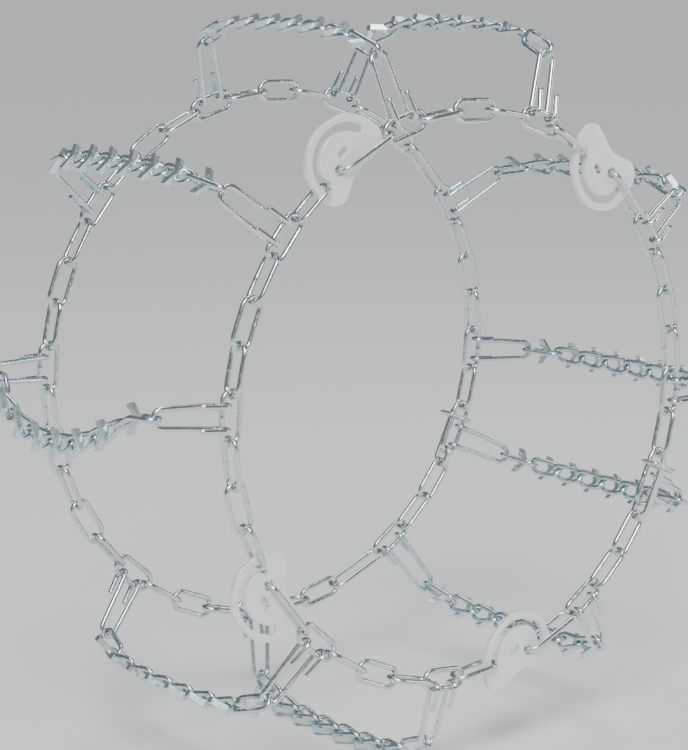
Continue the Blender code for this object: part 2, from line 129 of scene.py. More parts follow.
# %% The order of the links
FACE, EDGE = "face", "edge"
LOOSE_CAM, TIGHT_CAM, ANCHOR, FASTENER = "loose", "tight", "anchor", "fastener"
PLAIN = (EDGE, FACE, EDGE)
RUNS = {
    1: (TIGHT_CAM, ANCHOR),
    2: PLAIN,
    3: (LOOSE_CAM, ANCHOR),
    4: PLAIN,
    5: (EDGE,),
    6: (FACE, EDGE),
    7: (ANCHOR, LOOSE_CAM),
    8: PLAIN,
    9: (ANCHOR, TIGHT_CAM, FACE, EDGE),
    10: PLAIN,
}
CAM_RUNS = {1: "upper_left", 3: "upper_right", 7: "lower_right", 9: "lower_left"}
FASTENED = 6
LENGTHS = {
    FACE: LINK_PITCH,
    EDGE: LINK_PITCH,
    LOOSE_CAM: SLOT_FAR + LINK_PITCH,
    TIGHT_CAM: SLOT_NEAR + LINK_PITCH,
    ANCHOR: 0.056,
    FASTENER: 0.060,
}


def on_wheel(angle, radius, y):
    turn = math.radians(angle)
    return Vector((radius * math.sin(turn), y, radius * math.cos(turn)))


def outward(angle):
    return on_wheel(angle, 1.0, 0.0)


def clockwise(angle):
    return on_wheel(angle + 90, 1.0, 0.0)


def angle_over(chord, radius):
    return math.degrees(2 * math.asin(chord / (2 * radius)))


ORDER = []
for number, run in RUNS.items():
    ORDER.append((number, FASTENER if number == FASTENED else FACE))
    ORDER += [(number, kind) for kind in run]


def ring_radius():
    """The radius on which every link and cam closes into one ring."""
    low, high = 0.1, 1.0
    while high - low > 1e-9:
        radius = (low + high) / 2
        if sum(angle_over(LENGTHS[kind], radius) for _, kind in ORDER) > 360:
            low = radius
        else:
            high = radius
    return radius


RADIUS = ring_radius()


def ring_spans():
    spans, place = {}, {}
    angle = FIRST_ANGLE - angle_over(LINK_PITCH, RADIUS) / 2
    for number, kind in ORDER:
        place[number] = place.get(number, -1) + 1
        end = angle + angle_over(LENGTHS[kind], RADIUS)
        spans[number, place[number]] = (angle, end)
        angle = end
    return spans


SPANS = ring_spans()
print("side chain radius:", round(RADIUS * 1000, 2), "mm")


def corner(angle, y):
    return on_wheel(angle, RADIUS, y)


# %% [markdown]
# ## Plating
# All of it is steel with a zinc plate. Zinc is bright but never even: its colour drifts from blue
# to straw over a few centimetres, and tumbling in the bath leaves fine grain and small dull spots.
# One node group makes that, and each finish places it with its own values.


# %% Plating node group
def add_node(tree, kind, place, **values):
    node = tree.nodes.new(kind)
    node.location = place
    for name, value in values.items():
        if hasattr(node, name):
            setattr(node, name, value)
        else:
            node.inputs[name.replace("_", " ")].default_value = value
    return node


def make_plating():
    group = bpy.data.node_groups.new("zinc_plating", "ShaderNodeTree")
    sockets = group.interface
    for name, kind, default in (
        ("Colour", "NodeSocketColor", (0.8, 0.8, 0.8, 1)),
        ("Blue tint", "NodeSocketColor", (0.62, 0.72, 0.78, 1)),
        ("Tint amount", "NodeSocketFloat", 0.35),
        ("Dull", "NodeSocketFloat", 0.42),
        ("Bright", "NodeSocketFloat", 0.2),
        ("Grain", "NodeSocketFloat", 900.0),
    ):
        socket = sockets.new_socket(name, in_out="INPUT", socket_type=kind)
        socket.default_value = default
    sockets.new_socket("Colour", in_out="OUTPUT", socket_type="NodeSocketColor")
    sockets.new_socket("Roughness", in_out="OUTPUT", socket_type="NodeSocketFloat")
    sockets.new_socket("Height", in_out="OUTPUT", socket_type="NodeSocketFloat")
    given = group.nodes.new("NodeGroupInput")
    result = group.nodes.new("NodeGroupOutput")
    given.location, result.location = (-900, 0), (700, 0)
    place = add_node(group, "ShaderNodeTexCoord", (-1100, -300))
    drift = add_node(
        group, "ShaderNodeTexNoise", (-800, -200), Scale=55.0, Detail=3.0, Roughness=0.6
    )
    spots = add_node(
        group, "ShaderNodeTexNoise", (-800, -450), Scale=260.0, Detail=4.0, Roughness=0.7
    )
    grain = add_node(group, "ShaderNodeTexNoise", (-800, -700), Detail=3.0, Roughness=0.55)
    for noise in (drift, spots, grain):
        group.links.new(place.outputs["Object"], noise.inputs["Vector"])
    group.links.new(given.outputs["Grain"], grain.inputs["Scale"])
    shade = add_node(group, "ShaderNodeMapRange", (-550, -200))
    shade.inputs["From Min"].default_value = 0.38
    shade.inputs["From Max"].default_value = 0.66
    group.links.new(drift.outputs["Fac"], shade.inputs["Value"])
    amount = add_node(group, "ShaderNodeMath", (-350, -100), operation="MULTIPLY")
    group.links.new(shade.outputs["Result"], amount.inputs[0])
    group.links.new(given.outputs["Tint amount"], amount.inputs[1])
    tinted = add_node(group, "ShaderNodeMix", (-100, 100), data_type="RGBA")
    group.links.new(amount.outputs["Value"], tinted.inputs["Factor"])
    group.links.new(given.outputs["Colour"], tinted.inputs[6])
    group.links.new(given.outputs["Blue tint"], tinted.inputs[7])
    dulled = add_node(group, "ShaderNodeMapRange", (-550, -450))
    dulled.inputs["From Min"].default_value = 0.35
    dulled.inputs["From Max"].default_value = 0.7
    group.links.new(spots.outputs["Fac"], dulled.inputs["Value"])
    group.links.new(given.outputs["Bright"], dulled.inputs["To Min"])
    group.links.new(given.outputs["Dull"], dulled.inputs["To Max"])
    group.links.new(tinted.outputs[2], result.inputs["Colour"])
    group.links.new(dulled.outputs["Result"], result.inputs["Roughness"])
    group.links.new(grain.outputs["Fac"], result.inputs["Height"])
    return group


PLATING = make_plating()
print("node group:", PLATING.name, "with", len(PLATING.nodes), "nodes")

# %% [markdown]
# ## Finishes
# The same bath plates every piece, but a forged link, a sawn bar, a weld and a stamped plate
# come out of it differently. Each finish gives the plating its colour, tint, gloss and grain.


# %% Finishes
def zinc(name, colour, tint, tint_amount, bright, dull, grain, bump, metallic=1.0):
    """A zinc finish: the shader is the material's own, and the group feeds its colour and
    gloss."""
    material = bpy.data.materials.new(name)
    material.use_nodes = True
    tree = material.node_tree
    shader = tree.nodes["Principled BSDF"]
    shader.inputs["Metallic"].default_value = metallic
    plating = add_node(tree, "ShaderNodeGroup", (-500, 100))
    plating.node_tree = PLATING
    plating.inputs["Colour"].default_value = (*colour, 1)
    plating.inputs["Blue tint"].default_value = (*tint, 1)
    plating.inputs["Tint amount"].default_value = tint_amount
    plating.inputs["Bright"].default_value = bright
    plating.inputs["Dull"].default_value = dull
    plating.inputs["Grain"].default_value = grain
    relief = add_node(tree, "ShaderNodeBump", (-250, -200), Strength=bump, Distance=0.0004)
    tree.links.new(plating.outputs["Height"], relief.inputs["Height"])
    tree.links.new(relief.outputs["Normal"], shader.inputs["Normal"])
    tree.links.new(plating.outputs["Colour"], shader.inputs["Base Color"])
    tree.links.new(plating.outputs["Roughness"], shader.inputs["Roughness"])
    return material


SIDE_ZINC = zinc(
    "side_chain_zinc", (0.74, 0.78, 0.77), (0.52, 0.64, 0.67), 0.5, 0.16, 0.34, 700.0, 0.12
)
HOOK_ZINC = zinc(
    "hook_zinc", (0.80, 0.83, 0.81), (0.58, 0.69, 0.71), 0.45, 0.14, 0.30, 700.0, 0.10
)
CROSS_ZINC = zinc(
    "cross_chain_zinc", (0.70, 0.78, 0.80), (0.48, 0.62, 0.68), 0.7, 0.16, 0.36, 600.0, 0.15
)
BAR_ZINC = zinc(
    "v_bar_zinc", (0.80, 0.88, 0.88), (0.54, 0.71, 0.75), 0.6, 0.26, 0.46, 500.0, 0.30
)
WELD_ZINC = zinc(
    "weld_zinc", (0.60, 0.66, 0.67), (0.45, 0.52, 0.55), 0.6, 0.35, 0.55, 420.0, 0.70
)
CAM_ZINC = zinc(
    "cam_zinc", (0.93, 0.93, 0.91), (0.84, 0.87, 0.88), 0.5, 0.36, 0.48, 900.0, 0.10, 0.35
)
LEVER_ZINC = zinc(
    "fastener_zinc", (0.80, 0.82, 0.81), (0.66, 0.73, 0.75), 0.4, 0.22, 0.40, 800.0, 0.14
)
print("finishes:", len(bpy.data.materials))

# %% [markdown]
# ## Round wire
# A link is a rod bent round and welded at its ends. A swept tube gives that: rings of points are
# carried along the centreline without turning, and what turn is left over is shared out, so the
# tube closes cleanly. A Curve bevel would do it too, but it can't swell at the weld.


# %% Round wire
SIDES = 16


def carried_frames(points, closed):
    """(tangent, normal) at each point, with the normal carried along the path."""
    count = len(points)
    tangents = []
    for i in range(count):
        before = points[i - 1] if i or closed else points[0]
        after = points[(i + 1) % count] if i < count - 1 or closed else points[-1]
        tangents.append((after - before).normalized())
    normal = tangents[0].orthogonal().normalized()
    frames = [(tangents[0], normal)]
    for i in range(1, count):
        normal = tangents[i - 1].rotation_difference(tangents[i]) @ frames[-1][1]
        frames.append((tangents[i], normal))
    if closed:
        last = tangents[-1].rotation_difference(tangents[0]) @ normal
        first = frames[0][1]
        left = math.atan2(tangents[0].dot(last.cross(first)), last.dot(first))
        frames = [
            (t, Matrix.Rotation(left * i / count, 3, t) @ n) for i, (t, n) in enumerate(frames)
        ]
    return frames


def add_tube(mesh, points, radius, closed, swell=None, material_index=0, sides=SIDES):
    """Adds a tube to a bmesh. swell gives the share by which the wire is thicker at each point."""
    rings = []
    frames = carried_frames(points, closed)
    for i, (point, (tangent, normal)) in enumerate(zip(points, frames)):
        across = tangent.cross(normal)
        wide = radius * (1 + (swell[i] if swell else 0.0))
        ring = []
        for side in range(sides):
            turn = 2 * math.pi * side / sides
            spoke = normal * math.cos(turn) + across * math.sin(turn)
            ring.append(mesh.verts.new(point + spoke * wide))
        rings.append(ring)
    faces = []
    count = len(rings)
    for i in range(count if closed else count - 1):
        first, second = rings[i], rings[(i + 1) % count]
        for side in range(sides):
            other = (side + 1) % sides
            faces.append(mesh.faces.new((first[side], first[other], second[other], second[side])))
    if not closed:
        faces.append(mesh.faces.new(rings[0][::-1]))
        faces.append(mesh.faces.new(rings[-1]))
    for face in faces:
        face.material_index = material_index
    return faces


def between(first, last, count):
    return [first.lerp(last, (i + 1) / (count + 1)) for i in range(count)]


def link_path(start, end, side, half_width, bend=None, arc=9, straight=9):
    """The centreline of a link whose end wires pass through start and end, and its weld's
    index."""
    along = (end - start).normalized()
    bend = bend or min(half_width, (end - start).length / 2)
    arcs = []
    for tip, sign in ((end, 1), (start, -1)):
        centre = tip - along * (sign * bend)
        points = []
        for step in range(arc + 1):
            turn = math.pi * step / arc - math.pi / 2
            offset = math.copysign(half_width - bend, turn) + bend * math.sin(turn)
            points.append(centre + along * (sign * bend * math.cos(turn)) + side * (offset * sign))
        arcs.append(points)
    path = arcs[0] + between(arcs[0][-1], arcs[1][0], straight)
    weld = len(arcs[0]) + straight // 2
    path += arcs[1] + between(arcs[1][-1], arcs[0][0], straight)
    return path, weld


def weld_swell(path, weld, amount=0.09, reach=0.0016):
    """The butt weld's collar: a small swelling round the place where the rod's ends meet."""
    return [amount * math.exp(-(((p - path[weld]).length / reach) ** 2)) for p in path]


def add_link(mesh, start, end, side, half_width=HALF_WIDTH, wire=WIRE, bend=None, welded=True):
    path, weld = link_path(start, end, side, half_width, bend)
    near = [path[weld].lerp(path[weld - 1], share) for share in (0.75, 0.5, 0.25)]
    far = [path[weld].lerp(path[weld + 1], share) for share in (0.25, 0.5, 0.75)]
    path = path[:weld] + near + [path[weld]] + far + path[weld + 1 :]
    weld += len(near)
    add_tube(mesh, path, wire / 2, True, weld_swell(path, weld) if welded else None)


print("wire sides:", SIDES)

# %% [markdown]
# ## Pieces and bodies
# Each finished piece takes the place of one imported node and rides on that node's body, so that
# the cams, slot links and keeper rings move as the imported model does.


# %% Pieces and bodies
BODIES = frame["record"]["behaviour"]["bodies"]
BODY_OF = {node: body for body, nodes in BODIES.items() for node in nodes}


def finish_piece(mesh, node, name, materials, bend=None):
    """Turns a bmesh into a piece that stands for the node. bend moves each point, if it is
    given."""
    bmesh.ops.recalc_face_normals(mesh, faces=mesh.faces)
    data = bpy.data.meshes.new(name)
    mesh.to_mesh(data)
    mesh.free()
    for material in materials:
        data.materials.append(material)
    if bend:
        for vertex in data.vertices:
            vertex.co = bend(vertex.co)
    data.shade_smooth()
    data.set_sharp_from_angle(angle=math.radians(42))
    piece = bpy.data.objects.new(name, data)
    bpy.context.scene.collection.objects.link(piece)
    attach(piece, BODY_OF[node])
    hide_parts(node)
    return piece


# %% [markdown]
# ## Side chains
# Both rings are made link by link. Real links hang on each other with no gap, so each link's end
# wires reach past the corner that it shares with the next by half a wire.

# %% Side chains
COUNTER_CLOCKWISE = {10, 9, 8, 7, 6}


def owned_runs(number):
    """The runs beside a cross chain that belong to its side-chain piece: (run, leaves
    clockwise)."""
    runs = []
    if number not in COUNTER_CLOCKWISE:
        runs.append((number, True))
    if number == 1:
        runs.append((10, False))
    elif number in COUNTER_CLOCKWISE and number != FASTENED:
        runs.append((number - 1, False))
    return runs


def run_elements(run, leaves_clockwise, inner):
    """[(kind, near angle, far angle)] of a run. On the inner ring plain links fill the cam
    runs."""
    elements = [(kind, *SPANS[run, place + 1]) for place, kind in enumerate(RUNS[run])]
    if inner and ANCHOR in RUNS[run]:
        start, end = elements[0][1], elements[-1][2]
        step = angle_over(LINK_PITCH, RADIUS)
        count = 2 * round(((end - start) / step - 1) / 2) + 1
        angles = [start + step * place for place in range(count)] + [end]
        if not leaves_clockwise:
            angles = [start] + [end - step * place for place in range(count - 1, -1, -1)]
        kinds = [EDGE if place % 2 == 0 else FACE for place in range(count)]
        elements = list(zip(kinds, angles[:-1], angles[1:]))
    if leaves_clockwise:
        return elements
    return [(kind, end, start) for kind, start, end in reversed(elements)]


def add_side_link(mesh, kind, near, far, y):
    start, end = corner(near, y), corner(far, y)
    along = (end - start).normalized()
    side = along.cross(SPIN) if kind == FACE else SPIN
    add_link(mesh, start - along * (TOUCH / 2), end + along * (TOUCH / 2), side)


link_count = 0
for inner in (False, True):
    y = SIDE_Y if inner else -SIDE_Y
    ring = "inner" if inner else "outer"
    for number in RUNS:
        if number == FASTENED:
            continue
        links = bmesh.new()
        elements = [(FACE, *SPANS[number, 0])]
        for run, leaves_clockwise in owned_runs(number):
            for element in run_elements(run, leaves_clockwise, inner):
                if element[0] in (LOOSE_CAM, TIGHT_CAM, ANCHOR):
                    break
                elements.append(element)
        for kind, near, far in elements:
            add_side_link(links, kind, near, far, y)
            link_count += 1
        node, piece = f"{ring}_side_chain_{number:02d}", f"{ring}_side_links_{number:02d}"
        finish_piece(links, node, piece, [SIDE_ZINC])
print("side links:", link_count)

# %% [markdown]
# ## Cams
# A cam is a plate stamped into a kidney, with a spiral slot and two holes. Stamping rounds one
# rim of every edge. A filled 2D curve with a small bevel makes the plate, its holes and that
# soft rim at once, which cutting with Booleans wouldn't.


# %% Cam shapes
CAM_RIM = 0.0108  # metal outside the middle of the slot
STAMPED_EDGE = 0.0007
PIVOT_HOLE = 0.0045  # radius
TOOL_HOLE = (0.012, 0.0064)  # length and width
TOOL_HOLE_PLACE = (-0.0125, 0.0085)


def turned(point, degrees):
    turn = math.radians(degrees)
    x, y = point
    return (x * math.cos(turn) - y * math.sin(turn), x * math.sin(turn) + y * math.cos(turn))


def polar(degrees, radius):
    return turned((radius, 0.0), degrees)


NEXT_LINK_ANGLE = (angle_over(SLOT_NEAR + LINK_PITCH, RADIUS) + angle_over(LINK_PITCH, RADIUS)) / 2


def slot_point(turn, offset=0.0):
    """A point of the slot: where the slot link's wire lies, seen from the cam as it turns."""
    travel = (SLOT_FAR - SLOT_NEAR) * turn / SLOT_SWEEP
    drop = math.radians(NEXT_LINK_ANGLE)
    middle = turned((SLOT_NEAR + travel * math.cos(drop), -travel * math.sin(drop)), turn)
    length = math.hypot(*middle)
    return (middle[0] * (1 + offset / length), middle[1] * (1 + offset / length))


def end_arc(centre, heading, radius, steps=10):
    return [
        (centre[0] + dx, centre[1] + dy)
        for dx, dy in (polar(heading + 180 * step / steps, radius) for step in range(1, steps))
    ]


def rounded_slot(steps=40):
    turns = [SLOT_SWEEP * step / steps for step in range(steps + 1)]
    half = SLOT_WIDTH / 2
    points = [slot_point(turn, half) for turn in turns]
    points += end_arc(slot_point(SLOT_SWEEP), SLOT_SWEEP, half)
    points += [slot_point(turn, -half) for turn in reversed(turns)]
    points += end_arc(slot_point(0), 180, half)
    return points


def cam_outline(steps=10):
    """The kidney-shaped edge: a smooth closed curve through a few (degrees, radius) points."""
    edge = [(turn, math.hypot(*slot_point(turn)) + CAM_RIM) for turn in (8, 45, 90, 135, 158)]
    edge += [(177, 0.0498), (190, 0.0500), (200, 0.0455), (205, 0.0375), (210, 0.0285)]
    edge += [(224, 0.0190), (250, 0.0160), (282, 0.0205), (297, 0.0252), (312, 0.0275)]
    edge += [(328, 0.0282), (346, 0.0278)]
    points = [Vector(polar(*item)) for item in edge]
    smooth = []
    for place in range(len(points)):
        before, start, end, after = (points[(place + k) % len(points)] for k in (-1, 0, 1, 2))
        for step in range(steps):
            t = step / steps
            linear = (end - before) * t
            square = (2 * before - 5 * start + 4 * end - after) * (t * t)
            cube = (3 * start - before - 3 * end + after) * (t * t * t)
            smooth.append(start + (linear + square + cube) / 2)
    return [(point.x, point.y) for point in smooth]


def tool_hole():
    centre = Vector(TOOL_HOLE_PLACE)
    half, radius = (TOOL_HOLE[0] - TOOL_HOLE[1]) / 2, TOOL_HOLE[1] / 2
    right = [(half + x, y) for x, y in (polar(-90 + 15 * k, radius) for k in range(13))]
    return [tuple(centre + Vector(point)) for point in right + [(-x, -y) for x, y in right]]


def stamped_plate(name, outlines, thickness, rim, matrix):
    """A plate with holes and soft rims, as a bmesh in the row's frame."""
    curve = bpy.data.curves.new(name, "CURVE")
    curve.dimensions = "2D"
    curve.fill_mode = "BOTH"
    curve.extrude = thickness / 2 - rim
    curve.bevel_depth = rim
    curve.bevel_resolution = 3
    curve.offset = -rim
    for outline in outlines:
        spline = curve.splines.new("POLY")
        spline.points.add(len(outline) - 1)
        for target, (x, y) in zip(spline.points, outline):
            target.co = (x, y, 0.0, 1.0)
        spline.use_cyclic_u = True
    holder = bpy.data.objects.new(name, curve)
    bpy.context.scene.collection.objects.link(holder)
    bpy.context.view_layer.update()
    evaluated = holder.evaluated_get(bpy.context.evaluated_depsgraph_get())
    baked = bpy.data.meshes.new_from_object(evaluated)
    bpy.data.objects.remove(holder, do_unlink=True)
    mesh = bmesh.new()
    mesh.from_mesh(baked)
    bmesh.ops.remove_doubles(mesh, verts=mesh.verts, dist=1e-6)
    bmesh.ops.transform(mesh, matrix=matrix, verts=mesh.verts)
    return mesh


def frame_matrix(first, second, third, origin):
    matrix = Matrix.Identity(4)
    for row in range(3):
        matrix[row][0], matrix[row][1] = first[row], second[row]
        matrix[row][2], matrix[row][3] = third[row], origin[row]
    return matrix


# %% [markdown]
# ## Cams with their links
# Each cam turns in the end of a long anchor link, and its slot draws a slot link in as it turns.
# All three are placed from the corners of the ring, so they meet the links beside them. A loose
# cam is the same plate, turned until the far end of its slot holds the slot link.

# %% Cams with their links
LOOSE_END = slot_point(SLOT_SWEEP)
LOOSE_ANGLE = math.atan2(LOOSE_END[1], LOOSE_END[0])
LOOSE_REACH = math.hypot(*LOOSE_END)


def cam_frame(run):
    places = RUNS[run]
    kind = TIGHT_CAM if TIGHT_CAM in places else LOOSE_CAM
    start, end = SPANS[run, places.index(kind) + 1]
    pivot_angle, far_angle = (end, start) if places[0] == kind else (start, end)
    pivot = corner(pivot_angle, -SIDE_Y)
    target = corner(far_angle, -SIDE_Y) - outward(far_angle) * SLOT_LINK_DROP
    ahead = (target - pivot).normalized()
    up = (outward(pivot_angle) - ahead * outward(pivot_angle).dot(ahead)).normalized()
    return kind, pivot, ahead, up, target


def make_cam(run, tag):
    kind, pivot, ahead, up, target = cam_frame(run)
    tight = kind == TIGHT_CAM
    matrix = frame_matrix(ahead, up, ahead.cross(up), pivot)
    if not tight:
        matrix = matrix @ Matrix.Rotation(-LOOSE_ANGLE, 4, "Z")
    circle = [polar(10 * side, PIVOT_HOLE) for side in range(36)]
    outlines = [cam_outline(), rounded_slot(), circle, tool_hole()]
    plate = stamped_plate("cam", outlines, PLATE, STAMPED_EDGE, matrix)
    finish_piece(plate, f"cam_{tag}", f"kidney_cam_{tag}", [CAM_ZINC])
    slot_link = bmesh.new()
    near = pivot + ahead * (SLOT_NEAR if tight else LOOSE_REACH)
    far = target + ahead * (TOUCH / 2 + (0.0 if tight else SLACK))
    add_link(slot_link, near, far, SPIN)
    finish_piece(slot_link, f"slot_link_{tag}", f"slot_ring_{tag}", [SIDE_ZINC])
    anchor_link = bmesh.new()
    start, end = SPANS[run, RUNS[run].index(ANCHOR) + 1]
    tip = corner(end if RUNS[run][-1] == ANCHOR else start, -SIDE_Y)
    along = (tip - pivot).normalized()
    add_link(anchor_link, pivot, tip + along * (TOUCH / 2), SPIN)
    finish_piece(anchor_link, f"anchor_link_{tag}", f"anchor_ring_{tag}", [SIDE_ZINC])


for run, tag in CAM_RUNS.items():
    make_cam(run, tag)
print("cams:", len(CAM_RUNS))

# %% [markdown]
# ## Hooks
# A hook is one rod bent double: its closed end holds the cross chain, and both ends curl round a
# side link and lie back along the outside. The cut ends are square, with a slight chamfer.


# %% Hooks
CHAMFER_LENGTH = 0.0004
CHAMFER_DEPTH = 0.16  # as a share of the wire's radius


def cross_place(number):
    start, end = SPANS[number, 0]
    chord_middle = RADIUS * math.cos(math.radians(end - start) / 2)
    return (start + end) / 2, chord_middle + HALF_WIDTH


def hook_path(number, inner):
    angle, radius = cross_place(number)
    side = 1 if inner else -1
    along, out = clockwise(angle), outward(angle)
    held = out * radius + SPIN * (side * SIDE_Y)
    top = out * HOOK_TOP[0] + SPIN * (side * HOOK_TOP[1])
    reach = (top - held).normalized()
    front = (SPIN * side - reach * reach.dot(SPIN * side)).normalized()
    tip = held + reach * HOOK_TAIL + front * WRAP
    arm = [tip, tip - reach * CHAMFER_LENGTH] + between(tip, held + front * WRAP, 5)
    for step in range(11):
        turn = math.pi * step / 10
        arm.append(held + front * (WRAP * math.cos(turn)) - reach * (WRAP * math.sin(turn)))
    bend = HOOK_END_SPREAD / 2
    first = [point + along * (HOOK_SPREAD / 2) for point in arm]
    second = [point - along * (HOOK_SPREAD / 2) for point in arm]
    centre = top - reach * bend
    closed_end = []
    for step in range(13):
        turn = math.pi * step / 12
        closed_end.append(
            centre + along * (bend * math.cos(turn)) + reach * (bend * math.sin(turn))
        )
    path = first + between(first[-1], closed_end[0], 6) + closed_end
    return path + between(closed_end[-1], second[-1], 6) + second[::-1]


def add_hook(mesh, number, inner):
    path = hook_path(number, inner)
    chamfer = [0.0] * len(path)
    chamfer[0] = chamfer[-1] = -CHAMFER_DEPTH
    add_tube(mesh, path, WIRE / 2, False, chamfer)


for number in RUNS:
    hook = bmesh.new()
    add_hook(hook, number, False)
    finish_piece(hook, f"outer_hook_{number:02d}", f"bent_hook_{number:02d}", [HOOK_ZINC])
print("outer hooks:", len(RUNS))

# %% [markdown]
# ## Cross chains
# The links over the tread are twisted, so that the chain lies flat, and the last one at each end
# is straight and slopes down to its hook. To twist a link, its centreline is turned about the
# chain's own line, a little more towards each end, before the wire is swept along it.


# %% Twisted links
TWIST = math.radians(38)
CROSS_HALF_WIDTH = 0.0064
END_HALF_WIDTH = 0.0065


def crown(y):
    share = min(abs(y) / SHOULDER_Y, 1.0)
    return CROWN_RADIUS - (CROWN_RADIUS - SHOULDER_RADIUS) * share**2.5


def over_tread(angle, y, across, lift):
    """A point by its place along the cross chain, its place across it, and its height above it."""
    slope = (crown(y + 0.001) - crown(y - 0.001)) / 0.002
    normal = (outward(angle) - SPIN * slope).normalized()
    return on_wheel(angle, crown(y), y) + clockwise(angle) * across + normal * lift


def add_twisted_link(mesh, angle, middle):
    half = BAR_PITCH / 2 + WIRE / 2
    tip = Vector((half, 0, 0))
    flat, weld = link_path(-tip, tip, Vector((0, 1, 0)), CROSS_HALF_WIDTH)
    path = []
    for point in flat:
        turn = TWIST * point.x / half
        across, lift = point.y * math.cos(turn), point.y * math.sin(turn)
        path.append(over_tread(angle, middle + point.x, across, lift))
    add_tube(mesh, path, WIRE / 2, True, weld_swell(path, weld))


# %% [markdown]
# ## V-bars
# A V-bar is a short length of square bar, bent in the middle and welded across a link. Five square
# sections joined in a row give its bend, and a bevel softens its long edges. A weld bead on each
# of the link's sides holds it. A cube bent by a modifier would do, but its ends would lean too.

# %% V-bars
BAR_SINK = 0.0004  # how far the weld has drawn the bar into the link
BAR_DROOP = 0.0006  # how much lower its ends are than its middle
BAR_EDGE = 0.0005
BAR_LEAN = 0.06
WELD_SIZE = 0.0021
WELD_BEHIND = 0.0028  # from the bar's middle to the bead
WELD_LIFT = 0.0004


def add_v_bar(mesh, surface, middle, lean):
    """A square bar, bent in the middle, with soft edges and rough cut ends. surface gives a point
    from its place along the chain, its place across it, and its height above it."""
    half, lift = BAR_SPAN / 2, WIRE / 2 + BAR / 2 - BAR_SINK
    stations = [(-half, BAR_POINT), (-half / 2, BAR_POINT / 2), (0.0, 0.0)]
    stations += [(half / 2, BAR_POINT / 2), (half, BAR_POINT)]
    rings = []
    for across, back in stations:
        droop = -BAR_DROOP * (across / half) ** 2
        ring = []
        for dy, dz in ((-1, -1), (1, -1), (1, 1), (-1, 1)):
            y = middle - BAR_POINT / 2 + back + dy * BAR / 2 + lean * across
            ring.append(mesh.verts.new(surface(y, across, lift + droop + dz * BAR / 2)))
        rings.append(ring)
    faces = []
    for first, second in zip(rings[:-1], rings[1:]):
        for side in range(4):
            other = (side + 1) % 4
            faces.append(mesh.faces.new((first[side], first[other], second[other], second[side])))
    faces.append(mesh.faces.new(rings[0][::-1]))
    faces.append(mesh.faces.new(rings[-1]))
    for face in faces:
        face.material_index = 1
    long_edges = {
        edge
        for face in faces
        for edge in face.edges
        if edge.is_manifold and edge.calc_face_angle() > math.radians(60)
    }
    bmesh.ops.bevel(
        mesh, geom=list(long_edges), offset=BAR_EDGE, segments=2, affect="EDGES", profile=0.6
    )


def add_weld(mesh, centre, size, normal):
    """A weld bead: a small lumpy dome, pressed flat along the surface that it sits on."""
    made = bmesh.ops.create_icosphere(mesh, subdivisions=3, radius=size)["verts"]
    turn = normal.to_track_quat("Z", "Y")
    for vertex in made:
        vertex.co = centre + turn @ Vector((vertex.co.x, vertex.co.y * 0.8, vertex.co.z * 0.55))
    for face in {face for vertex in made for face in vertex.link_faces}:
        face.material_index = 2


def end_link_ends(angle, side):
    """Where the last link starts, in the last twisted one, and where it ends, in its hook."""
    y = side * (BAR_PITCH * (BARS / 2 - 1) - WIRE / 2)
    start = on_wheel(angle, crown(y), y)
    held = SPIN * (side * HOOK_TOP[1]) + outward(angle) * HOOK_TOP[0]
    return start, held + (held - start).normalized() * TOUCH


def over_end_link(angle, side, y, across, lift):
    """What over_tread gives, for the straight last link, which slopes down to its hook."""
    start, end = end_link_ends(angle, side)
    way, along = (end - start).normalized(), clockwise(angle)
    normal = way.cross(along)
    if normal.dot(outward(angle)) < 0:
        normal = -normal
    return start + way * ((y - start.y) / way.y) + along * across + normal * lift


def make_cross_chain(number):
    angle = cross_place(number)[0]
    along = clockwise(angle)
    rng = random.Random(number)
    chain = bmesh.new()
    for place in range(BARS):
        middle = BAR_PITCH * (place - (BARS - 1) / 2)
        if place in (0, BARS - 1):
            surface = partial(over_end_link, angle, -1 if place == 0 else 1)
        else:
            surface = partial(over_tread, angle)
            add_twisted_link(chain, angle, middle)
        add_v_bar(chain, surface, middle, rng.uniform(-BAR_LEAN, BAR_LEAN))
        for across in (-CROSS_HALF_WIDTH, CROSS_HALF_WIDTH):
            spot = surface(middle + WELD_BEHIND, across, WIRE / 2 + WELD_LIFT)
            size = WELD_SIZE + rng.uniform(-0.0002, 0.0003)
            add_weld(chain, spot, size, outward(angle))
    for side in (-1, 1):
        start, end = end_link_ends(angle, side)
        add_link(chain, start, end, along.cross((end - start).normalized()), END_HALF_WIDTH)
    add_hook(chain, number, True)

    def drifted(point):
        bow = max(0.0, 1 - (point.y / SHOULDER_Y) ** 2)
        return point + along * (DRIFT.get(number, 0.0) * bow)

    node, piece = f"v_bar_chain_{number:02d}", f"ice_bar_chain_{number:02d}"
    finish_piece(chain, node, piece, [CROSS_ZINC, BAR_ZINC, WELD_ZINC], drifted)


for number in RUNS:
    make_cross_chain(number)
print("twisted links:", (BARS - 2) * len(RUNS), "V-bars:", BARS * len(RUNS))

# %% [markdown]
# ## Lever fasteners
# A fastener closes each side chain: a flat bar bent round a long link's end holds the next link
# in its nose, and a ring keeps its handle down. Its side view is drawn once and given its width.


# %% Lever fasteners
HANDLE_START = 0.003
HANDLE_END = 0.006  # how far short of the long link the handle stops
KEEPER_PLACE = 0.0125  # from the long link's held end to the ring
KEEPER_BEND = 0.003
LEVER_EDGE = 0.0006


def fastener_frame(inner):
    y = SIDE_Y if inner else -SIDE_Y
    start, end = SPANS[FASTENED, 0]
    bottom, top = corner(start, y), corner(end, y)
    return bottom, top, (top - bottom).normalized(), SPIN * (1 if inner else -1)


def swung(first, last, steps=14):
    return [math.radians(first + (last - first) * step / steps) for step in range(steps + 1)]


